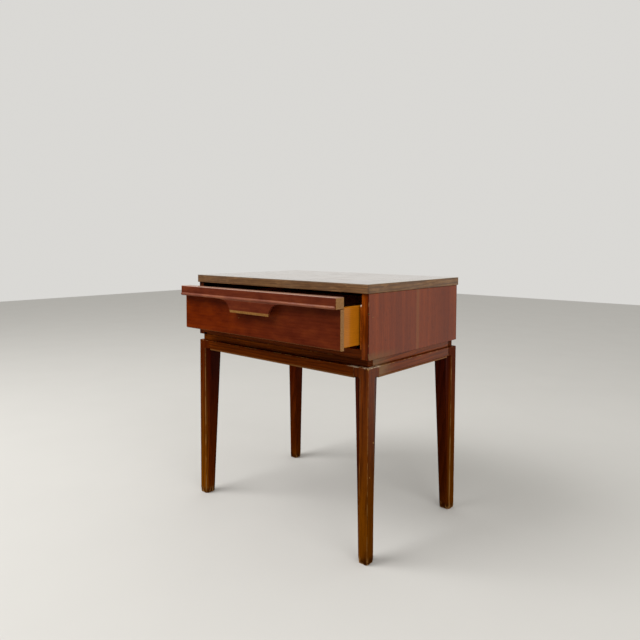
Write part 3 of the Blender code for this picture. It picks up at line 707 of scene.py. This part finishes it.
def aged_leg(finish, node, corner, base, worn, scuffs):
    """Colour and bare wood of a leg.

    The flutes and the two inner faces get painted shade, all legs but the front right one get
    painted shade near the top, under the case, the colour turns paler towards the foot, which
    is scraped and soiled, and pale lines along the flute's arris and the outer corner are
    painted highlight laid on as worn bare wood.
    """
    sizes = bpy.context.scene.stand_sizes
    low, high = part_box(node)
    x, y, z = finish.place()
    a = x - low.x if "left" in corner else high.x - x
    b = y - low.y if "front" in corner else high.y - y
    deep = finish.most(a, b)
    margin = sizes.flute_margin
    flute_top = high.z - sizes.flute_end
    shaft = z.ramp(flute_top + 0.001, flute_top - 0.003)
    base = finish.mix(z.ramp(0.38, 0.05), base, finish.tint(base, (1.06, 1.56, 1.10)))
    # Painted shade: all legs but the front right one are darker near the top, under the case.
    if corner != "front_right":
        base = finish.tint(base, (0.66, 0.52, 0.60), z.ramp(0.20, 0.38))
    # Painted shade on the flutes and the two inner faces.
    inner_shade = deep.ramp(margin + 0.0005, margin + 0.007) * shaft
    base = finish.tint(base, (0.48, 0.28, 0.28), inner_shade)
    # Painted highlight: pale lines along the flute's arris and the outer corner, laid on as worn bare wood
    # in patches.
    off = deep - margin
    arris = (off * off).ramp(0.0011**2, 0.0003**2) * shaft
    worn = finish.most(worn, arris * scuffs.ramp(0.36, 0.58) * 0.65)
    corner_line = deep.ramp(0.0022, 0.0008) * z.ramp(high.z - 0.002, high.z - 0.06)
    worn = finish.most(worn, corner_line * scuffs.ramp(0.40, 0.62) * 0.25)
    scraped = scuffs.ramp(0.47, 0.56) * z.ramp(0.020, 0.002) * 0.75
    bottom = (z + (scuffs - 0.5) * 0.012).ramp(0.0040, 0.0005) * scuffs.ramp(0.42, 0.55)
    soiled = (z + (scuffs - 0.5) * 0.030).ramp(0.018, 0.005)
    base = finish.tint(base, (0.50, 0.48, 0.55), soiled)
    return base, finish.most(worn, finish.most(scraped, bottom) * 0.85)


def softwood(node, grain, light, dark, gloss, ring=None, pith=rough_pith, polish=0.0, swirl=0.0):
    """Unstained or yellowed wood with strong late-wood lines."""
    sizes = bpy.context.scene.stand_sizes
    finish = Finish(f"softwood_{node}")
    seed = seed_of(node)
    late, fibre, _, slow = lumber(finish, node, grain, ring or sizes.pine_ring, pith, swirl)
    base = finish.mix(late * (0.10 + 0.60 * slow.ramp(0.42, 0.62)), light, dark)
    base = finish.mix(fibre.ramp(0.4, 0.7) * 0.2, base, dark)
    base = finish.mix(slow.ramp(0.45, 0.7) * 0.2, base, dark)
    x, y, z = finish.place()
    knots = finish.noise((x * 18.0, y * 18.0 + seed, z * 30.0))
    base = finish.mix(knots.ramp(0.70, 0.78) * 0.5, base, shade(dark, 0.4))
    rough = gloss + smudges(finish, seed).ramp(0.3, 0.7) * 0.12
    relief = finish.bump(fibre * 0.5 + late * 0.5, 0.00008, 0.7)
    return finish.coated(base, rough, relief, polish, 0.15, 0.05)


def pressed_board(node, light, dark, chip):
    """Hardboard or chipboard: felted chips with no grain direction."""
    finish = Finish(f"pressed_board_{node}")
    x, y, z = finish.place()
    chips = finish.noise((x * chip, y * chip, z * chip), 3.0, 0.7)
    dust = finish.noise((x * chip * 7.0, y * chip * 7.0, z * chip * 7.0))
    base = finish.mix(chips.ramp(0.3, 0.7), light, dark)
    base = finish.mix(dust.ramp(0.55, 0.7) * 0.5, base, shade(dark, 0.5))
    # Painted shade: the back's face inside the case is near-black.
    if node == "back_panel":
        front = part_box(node)[0].y
        inner = y.ramp(front + 0.0012, front + 0.0004)
        base = finish.mix(inner, base, bpy.context.scene.stand_colours.inside)
    relief = finish.bump(chips + dust * 0.4, 0.00015, 0.8)
    return finish.surface(Base_Color=base, Roughness=0.68 + chips * 0.2, Normal=relief)


def plywood(node):
    """Drawer bottom: pale veneer with thin plies showing at its edges."""
    colours = bpy.context.scene.stand_colours
    finish, seed, low, high, _, _, z = begin("plywood", node)
    late, fibre = lumber(finish, node, "X", 0.009, oak_pith)[:2]
    base = finish.mix(late * 0.5 + fibre * 0.3, colours.pine_light, colours.pine_dark)
    ply = finish.reckon("FRACT", (z - low.z) * (1.5 / (high.z - low.z)))
    glued = ply.ramp(0.45, 0.5) * ply.ramp(1.0, 0.95)
    inside = finish.least(z - low.z, high.z - z).ramp(0.0003, 0.0006)
    base = finish.mix(glued * inside * 0.6, base, shade(colours.pine_dark, 0.4))
    relief = finish.bump(fibre + late, 0.00006, 0.6)
    return finish.surface(Base_Color=base, Roughness=0.5 + smudges(finish, seed) * 0.2, Normal=relief)


def plain_steel(node):
    """Turned steel of a screw, faintly ringed and spotted with tarnish."""
    steel = bpy.context.scene.stand_colours.steel
    finish = Finish(f"steel_{node}")
    x, y, z = finish.place()
    rings = finish.noise((x * 60.0, y * 60.0, z * 2600.0))
    tarnish = finish.noise((x * 700.0, y * 700.0, z * 700.0), 3.0).ramp(0.52, 0.66)
    base = finish.mix(tarnish * 0.6, steel, shade(steel, 0.35))
    rough = 0.28 + rings * 0.15 + tarnish * 0.3
    relief = finish.bump(rings, 0.00003, 0.6)
    return finish.surface(Base_Color=base, Roughness=rough, Metallic=1.0, Normal=relief)


# ---------------------------------------------------------------- pieces
def carry_over(node, easing):
    """A finished board: the frame's shape with whole faces and rounded edges."""
    steps = 2 if easing < fine_edge else 3
    bm = bmesh.new()
    bm.from_mesh(frame["nodes"][node].data)
    bmesh.ops.remove_doubles(bm, verts=bm.verts, dist=0.00001)
    bmesh.ops.dissolve_limit(bm, angle_limit=flat_angle, verts=bm.verts, edges=bm.edges)
    sharp = [
        edge
        for edge in bm.edges
        if edge.is_manifold and edge.is_convex and edge.calc_face_angle() > eased_angle
    ]
    bmesh.ops.bevel(
        bm, geom=sharp, offset=easing, segments=steps, profile=0.5, affect="EDGES", clamp_overlap=True
    )
    return new_piece(f"{node}_finished", bm, node)


def link_mesh(name, bm):
    """Put a bmesh into the scene as an object."""
    mesh = bpy.data.meshes.new(name)
    bm.to_mesh(mesh)
    bm.free()
    made = bpy.data.objects.new(name, mesh)
    bpy.context.scene.collection.objects.link(made)
    return made


def new_piece(name, bm, node):
    """Link a mesh that stands for a CAD node and moves with that node's body."""
    bmesh.ops.recalc_face_normals(bm, faces=bm.faces)
    piece = link_mesh(name, bm)
    piece.data.shade_smooth()
    piece.data.set_sharp_from_angle(angle=smooth_angle)
    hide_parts(node)
    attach(piece, frame["nodes"][node]["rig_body"])
    return piece


def dress(piece, material):
    """Give a piece its material, and keep its broad faces flat beside the rounded edges."""
    piece.data.materials.clear()
    piece.data.materials.append(material)
    piece.modifiers.new("flat_faces", "WEIGHTED_NORMAL").keep_sharp = True


def board(node, easing, material):
    """A finished board in its material."""
    dress(carry_over(node, easing), material)


def nick(piece, node):
    """Break a node's splinters out of the piece that stands for it."""
    spots = splinters().get(node)
    if not spots:
        return
    bm = bmesh.new()
    for number, (*centre, size) in enumerate(spots):
        made = bmesh.ops.create_icosphere(bm, subdivisions=2, radius=size)
        for vertex in made["verts"]:
            swell = 1.0 + 0.45 * noise.noise(vertex.co * (1.3 / size) + Vector((number, 0.0, 0.0)))
            vertex.co = Vector(centre) + vertex.co * swell
    tool = link_mesh("splinters", bm)
    boolean = piece.modifiers.new("splinters", "BOOLEAN")
    boolean.operation = "DIFFERENCE"
    boolean.use_self = True
    boolean.object = tool
    graph = bpy.context.evaluated_depsgraph_get()
    graph.update()
    chipped = bpy.data.meshes.new_from_object(piece.evaluated_get(graph))
    piece.modifiers.clear()
    piece.data = chipped
    bpy.data.objects.remove(tool)


def leg_width(height, low, high):
    """Width of a leg at a height: upright at the top and tapered below."""
    sizes = bpy.context.scene.stand_sizes
    taper = high.x - low.x - sizes.leg_foot
    return sizes.leg_foot + taper * min(1.0, height / (high.z - sizes.leg_straight))


def leg_section(height, low, high):
    """One level of a leg as (x, y) points from its outer corner, with flutes cut in."""
    sizes = bpy.context.scene.stand_sizes
    top_width = high.x - low.x
    width = leg_width(height, low, high)
    edge = sizes.leg_edge
    flute_top = high.z - sizes.flute_end
    rise = (height - (flute_top - sizes.flute_round)) / sizes.flute_round
    rise = min(1.0, max(0.0, rise))
    narrowing = sizes.flute_round * (1.0 - math.sqrt(1.0 - rise * rise))
    start = sizes.flute_margin + narrowing
    reach = top_width - start
    depth = sizes.flute_depth * (1.0 - 0.5 * narrowing / sizes.flute_round)
    if height >= flute_top:
        depth = 0.0
    half = []
    for i in range(arris_steps + 1):
        angle = math.radians(45 - 45 * i / arris_steps)
        half.append((edge * (1 - math.sin(angle)), edge * (1 - math.cos(angle))))
    half += [(edge + (start - edge) * i / flat_steps, 0.0) for i in range(1, flat_steps)]
    for i in range(flute_steps + 1):
        a = start + (width - start) * (1 - (1 - i / flute_steps) ** 1.6)
        b = depth * math.sqrt(max(0.0, 1.0 - ((top_width - a) / reach) ** 2)) if i else 0.0
        half.append((a, b))
    half += [(width, b + (width - b) * i / flat_steps) for i in range(1, flat_steps)]
    half.append((width - 0.0006, width - 0.0002))
    return half + [(b, a) for a, b in reversed(half[1:])]


def leg_levels(top):
    """Heights of a leg's rings: close together at the foot and at the flute's end."""
    sizes = bpy.context.scene.stand_sizes
    flute_top = top - sizes.flute_end
    foot = [0.0, 0.0005, 0.0015, 0.003, 0.005, 0.008, 0.012]
    length = flute_top - 0.020 - foot[-1]
    shaft = [foot[-1] + length * i / shaft_steps for i in range(1, shaft_steps + 1)]
    end = [flute_top - 0.006 + 0.0061 * i / flute_steps for i in range(flute_steps + 1)]
    crown = [top - sizes.leg_straight, flute_top + 0.004, top - eased_top, top]
    return sorted(set(foot + shaft + end + crown))


def shape_leg(corner):
    """A fluted, tapered leg, softened and chipped where feet and brooms have knocked it."""
    node = f"leg_{corner}"
    low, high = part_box(node)
    seed = seed_of(node)
    turn = Matrix.Rotation(corners.index(corner) * math.pi / 2, 4, "Z")
    outer = Vector((low.x if "left" in corner else high.x, low.y if "front" in corner else high.y, low.z))
    bm = bmesh.new()
    rings = []
    for height in leg_levels(high.z):
        foot = max(0.0, 1.0 - height / worn_foot)
        crown = max(0.0, 1.0 - (high.z - height) / eased_top)
        middle = 0.5 * leg_width(height, low, high)
        ring = []
        for a, b in leg_section(height, low, high):
            rough = noise.noise(Vector((a * 160.0, b * 160.0, height * 90.0 + seed)))
            knock = max(0.0, rough - 0.15)
            chips = foot_chips * foot + arris_chips * near_arris(a, b)
            draw = foot_softening * foot**2 + top_easing * crown + chips * knock
            inward = Vector((middle - a, middle - b, 0.0)).normalized() * draw
            ring.append(bm.verts.new(outer + turn @ (Vector((a, b, height)) + inward)))
        rings.append(ring)
    for ring, following in zip(rings, rings[1:]):
        for i in range(len(ring)):
            j = (i + 1) % len(ring)
            bm.faces.new((ring[i], ring[j], following[j], following[i]))
    bm.faces.new(rings[0])
    bm.faces.new(rings[-1])
    leg = new_piece(f"{node}_finished", bm, node)
    nick(leg, node)
    return leg


def near_arris(a, b):
    """1 on the leg's outer arris, fading over a few millimetres."""
    return max(0.0, 1.0 - max(a, b) / 0.003)


# ---------------------------------------------------------------- operators
class STAND_OT_top(bpy.types.Operator):
    """Finish the slab: laminate skin, core and four edge bands"""

    bl_idname = "stand.top"
    bl_label = "Top"

    def execute(self, context):
        sizes = context.scene.stand_sizes
        board("top_laminate", sizes.fine_easing * 0.5, oak_print("top_laminate", "X", True))
        chips = pressed_board("top_core", (0.46, 0.33, 0.19), (0.20, 0.12, 0.06), 260.0)
        board("top_core", sizes.fine_easing, chips)
        for name, grain in grain_of.items():
            node = f"edge_band_{name}"
            board(node, sizes.fine_easing, oak_print(node, grain, False))
        return {"FINISHED"}


class STAND_OT_case(bpy.types.Operator):
    """Finish the case: side panels, bottom and back"""

    bl_idname = "stand.case"
    bl_label = "Case"

    def execute(self, context):
        colours = context.scene.stand_colours
        sizes = context.scene.stand_sizes
        for side in sides:
            node = f"side_panel_{side}"
            panel = carry_over(node, sizes.easing)
            nick(panel, node)
            dress(panel, mahogany(node, "Z", colours.panel_light, colours.panel_dark, 0.32, True))
        bottom = mahogany("case_bottom", "X", colours.bottom_light, colours.leg_dark)
        board("case_bottom", sizes.easing, bottom)
        back = pressed_board("back_panel", colours.back_light, colours.back_dark, 420.0)
        board("back_panel", sizes.fine_easing, back)
        return {"FINISHED"}


class STAND_OT_case_fittings(bpy.types.Operator):
    """Finish the guide strips, runners, stops and cleats inside the case"""

    bl_idname = "stand.case_fittings"
    bl_label = "Case fittings"

    def execute(self, context):
        colours = context.scene.stand_colours
        sizes = context.scene.stand_sizes
        for side in sides:
            node = f"guide_strip_{side}"
            board(node, sizes.fine_easing, guide_strip(node))
        kinds = ("top_cleat", "drawer_runner", "drawer_stop")
        boards = {f"{kind}_{side}": "Y" for kind in kinds for side in sides}
        boards["top_cleat_back"] = "X"
        for node, grain in boards.items():
            light, dark = colours.cleat_light, colours.cleat_dark
            # Painted shade: the top cleats are darkened, as they lie in shade inside the case.
            if node.startswith("top_cleat"):
                light, dark = shade(light, 0.12), shade(dark, 0.12)
            board(node, sizes.easing, softwood(node, grain, light, dark, 0.6))
        return {"FINISHED"}


class STAND_OT_plinth(bpy.types.Operator):
    """Finish the four rails of the recessed plinth"""

    bl_idname = "stand.plinth"
    bl_label = "Plinth"

    def execute(self, context):
        sizes = context.scene.stand_sizes
        for name, grain in grain_of.items():
            node = f"plinth_{name}"
            # Painted light and shade: the side plinth rails are made paler and the front and back ones
            # darker, by how each is lit.
            polish, tone = (0.56, 1.34) if name in sides else (0.1, 0.60)
            board(node, sizes.easing, leg_wood(node, grain, polish=polish, tone=tone))
        return {"FINISHED"}


class STAND_OT_leg_frame(bpy.types.Operator):
    """Shape the four fluted legs and finish the rails between them"""

    bl_idname = "stand.leg_frame"
    bl_label = "Leg frame"

    def execute(self, context):
        sizes = context.scene.stand_sizes
        for corner in corners:
            node = f"leg_{corner}"
            polish, rubbed, tone = leg_finish[corner]
            dress(shape_leg(corner), leg_wood(node, "Z", corner, polish, rubbed, tone))
        for name, grain in grain_of.items():
            node = f"frame_rail_{name}"
            # Painted light: the side rails are made paler than the front and back ones, by how each is lit.
            polish, tone = (0.56, 1.30) if name in sides else (0.1, 0.95)
            rail = carry_over(node, sizes.easing)
            nick(rail, node)
            dress(rail, leg_wood(node, grain, polish=polish, rubbed=0.48, tone=tone))
        return {"FINISHED"}


class STAND_OT_corner_hardware(bpy.types.Operator):
    """Finish the blocks and screws behind the four corners"""

    bl_idname = "stand.corner_hardware"
    bl_label = "Corner hardware"

    def execute(self, context):
        colours = context.scene.stand_colours
        sizes = context.scene.stand_sizes
        for corner in corners:
            for kind, grain in (("corner_block", "X"), ("plinth_block", "Y")):
                node = f"{kind}_{corner}"
                material = softwood(node, grain, colours.cleat_light, colours.cleat_dark, 0.62)
                board(node, sizes.easing, material)
            node = f"frame_screw_{corner}"
            board(node, sizes.fine_easing * 0.5, plain_steel(node))
        return {"FINISHED"}


class STAND_OT_drawer_front(bpy.types.Operator):
    """Finish the drawer's front plate, its pull rail and the dowels between them"""

    bl_idname = "stand.drawer_front"
    bl_label = "Drawer front"

    def execute(self, context):
        sizes = context.scene.stand_sizes
        plate = carry_over("drawer_front_plate", sizes.easing)
        nick(plate, "drawer_front_plate")
        dress(plate, drawer_front_plate("drawer_front_plate"))
        board("drawer_pull_rail", sizes.fine_easing, drawer_pull("drawer_pull_rail"))
        for name in ("left", "centre", "right"):
            node = f"front_dowel_{name}"
            birch = softwood(node, "Z", (0.56, 0.38, 0.20), (0.40, 0.24, 0.11), 0.6, 0.0015, dowel_pith)
            board(node, sizes.fine_easing * 0.5, birch)
        return {"FINISHED"}


class STAND_OT_drawer_box(bpy.types.Operator):
    """Finish the drawer's sides, back, bottom and glue blocks"""

    bl_idname = "stand.drawer_box"
    bl_label = "Drawer box"

    def execute(self, context):
        colours = context.scene.stand_colours
        sizes = context.scene.stand_sizes
        boards = {
            "drawer_side_left": "Y",
            "drawer_side_right": "Y",
            "drawer_back": "X",
            "drawer_glue_block_left": "Z",
            "drawer_glue_block_right": "Z",
        }
        for node, grain in boards.items():
            light, dark = colours.pine_light, colours.pine_dark
            # Painted shade: the drawer's back is darkened, as it lies in shade inside the case.
            if node == "drawer_back":
                light, dark = shade(light, 0.4), shade(dark, 0.4)
            wood = softwood(node, grain, light, dark, 0.36, pith=pine_pith, polish=0.5, swirl=0.034)
            board(node, sizes.easing, wood)
        board("drawer_bottom", sizes.fine_easing, plywood("drawer_bottom"))
        return {"FINISHED"}


class STAND_OT_stage(bpy.types.Operator):
    """Lay the pale floor, set the soft lights and place the camera"""

    bl_idname = "stand.stage"
    bl_label = "Stage"

    def execute(self, context):
        colours = context.scene.stand_colours
        stage = context.scene.stand_stage
        lay_floor(colours.floor)
        surround(context.scene, colours.backdrop, stage.surround)
        low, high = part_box("top_laminate")
        aim = Vector(((low.x + high.x) / 2, (low.y + high.y) / 2, high.z))
        soft_light("key_light", key_light, aim, stage.key_power)
        soft_light("fill_light", fill_light, aim, stage.fill_power)
        place_camera(context.scene, stage, aim)
        return {"FINISHED"}


def lay_floor(tone):
    """A wide pale floor with a faint mottle."""
    bm = bmesh.new()
    bmesh.ops.create_grid(bm, x_segments=1, y_segments=1, size=6.0)
    floor = link_mesh("studio_floor", bm)
    finish = Finish("studio_floor")
    x, y, z = finish.place()
    mottle = finish.noise((x * 5.0, y * 5.0, z), 3.0)
    base = finish.mix(mottle, tone, shade(tone, 0.96))
    floor.data.materials.append(finish.surface(Base_Color=base, Roughness=0.75 + mottle * 0.1))
    floor.visible_glossy = False


def surround(scene, tone, strength):
    """Pale backdrop; as light it is bright behind and above the stand and dim in front."""
    scene.world = bpy.data.worlds.new("soft_surround")
    finish = Finish(scene.world, "Background")
    _, y, z = finish.place("Generated")
    dim = shade(tone, 0.06)
    light = finish.mix((y + z * 2.0).ramp(-0.35, 0.55), dim, tone)
    seen = finish.node("ShaderNodeLightPath", {}, {}, "Is Camera Ray")
    finish.surface(Color=finish.mix(seen, light, tone), Strength=strength)
    scene.view_settings.view_transform = "Standard"


def soft_light(name, stand, aim, watts):
    """A square area light turned towards the middle of the top."""
    away, size = stand
    lamp = bpy.data.lights.new(name, "AREA")
    lamp.energy = watts
    lamp.size = size
    light = bpy.data.objects.new(name, lamp)
    light.location = aim + away
    light.rotation_euler = (aim - light.location).to_track_quat("-Z", "Y").to_euler()
    bpy.context.scene.collection.objects.link(light)


def place_camera(scene, stage, aim):
    """Camera at a distance from the middle of the top, tilted down a little."""
    tilt, roll, turn = stage.turn
    camera_data = bpy.data.cameras.new("camera")
    camera_data.lens = stage.lens
    camera_data.shift_y = stage.shift_y
    camera_data.clip_start = 0.02
    camera = bpy.data.objects.new("camera", camera_data)
    scene.collection.objects.link(camera)
    level = math.pi / 2
    facing = (
        Matrix.Rotation(turn, 4, "Z")
        @ Matrix.Rotation(level - tilt, 4, "X")
        @ Matrix.Rotation(roll, 4, "Z")
    )
    camera.matrix_world = Matrix.Translation(aim + Vector(stage.place)) @ facing
    scene.camera = camera


class STAND_PT_sidebar(bpy.types.Panel):
    """Sizes, colours and the steps that finish the stand"""

    bl_idname = "STAND_PT_sidebar"
    bl_label = "Bedside stand"
    bl_space_type = "VIEW_3D"
    bl_region_type = "UI"
    bl_category = "Bedside stand"

    def draw(self, context):
        layout = self.layout
        for step in steps:
            layout.operator(step.bl_idname)
        for group in (context.scene.stand_sizes, context.scene.stand_colours, context.scene.stand_stage):
            box = layout.box()
            for name in group.bl_rna.properties.keys():
                if name not in ("rna_type", "name"):
                    box.prop(group, name)


groups = {"stand_colours": StandColours, "stand_sizes": StandSizes, "stand_stage": StandStage}
steps = (
    STAND_OT_top,
    STAND_OT_case,
    STAND_OT_case_fittings,
    STAND_OT_plinth,
    STAND_OT_leg_frame,
    STAND_OT_corner_hardware,
    STAND_OT_drawer_front,
    STAND_OT_drawer_box,
    STAND_OT_stage,
)


def register():
    for cls in (*groups.values(), *steps, STAND_PT_sidebar):
        bpy.utils.register_class(cls)
    for name, group in groups.items():
        setattr(bpy.types.Scene, name, PointerProperty(type=group))


def unregister():
    for name in groups:
        delattr(bpy.types.Scene, name)
    for cls in reversed((*groups.values(), *steps, STAND_PT_sidebar)):
        bpy.utils.unregister_class(cls)


def main():
    register()
    bpy.ops.stand.top()
    bpy.ops.stand.case()
    bpy.ops.stand.case_fittings()
    bpy.ops.stand.plinth()
    bpy.ops.stand.leg_frame()
    bpy.ops.stand.corner_hardware()
    bpy.ops.stand.drawer_front()
    bpy.ops.stand.drawer_box()
    bpy.ops.stand.stage()


if __name__ == "__main__":
    main()
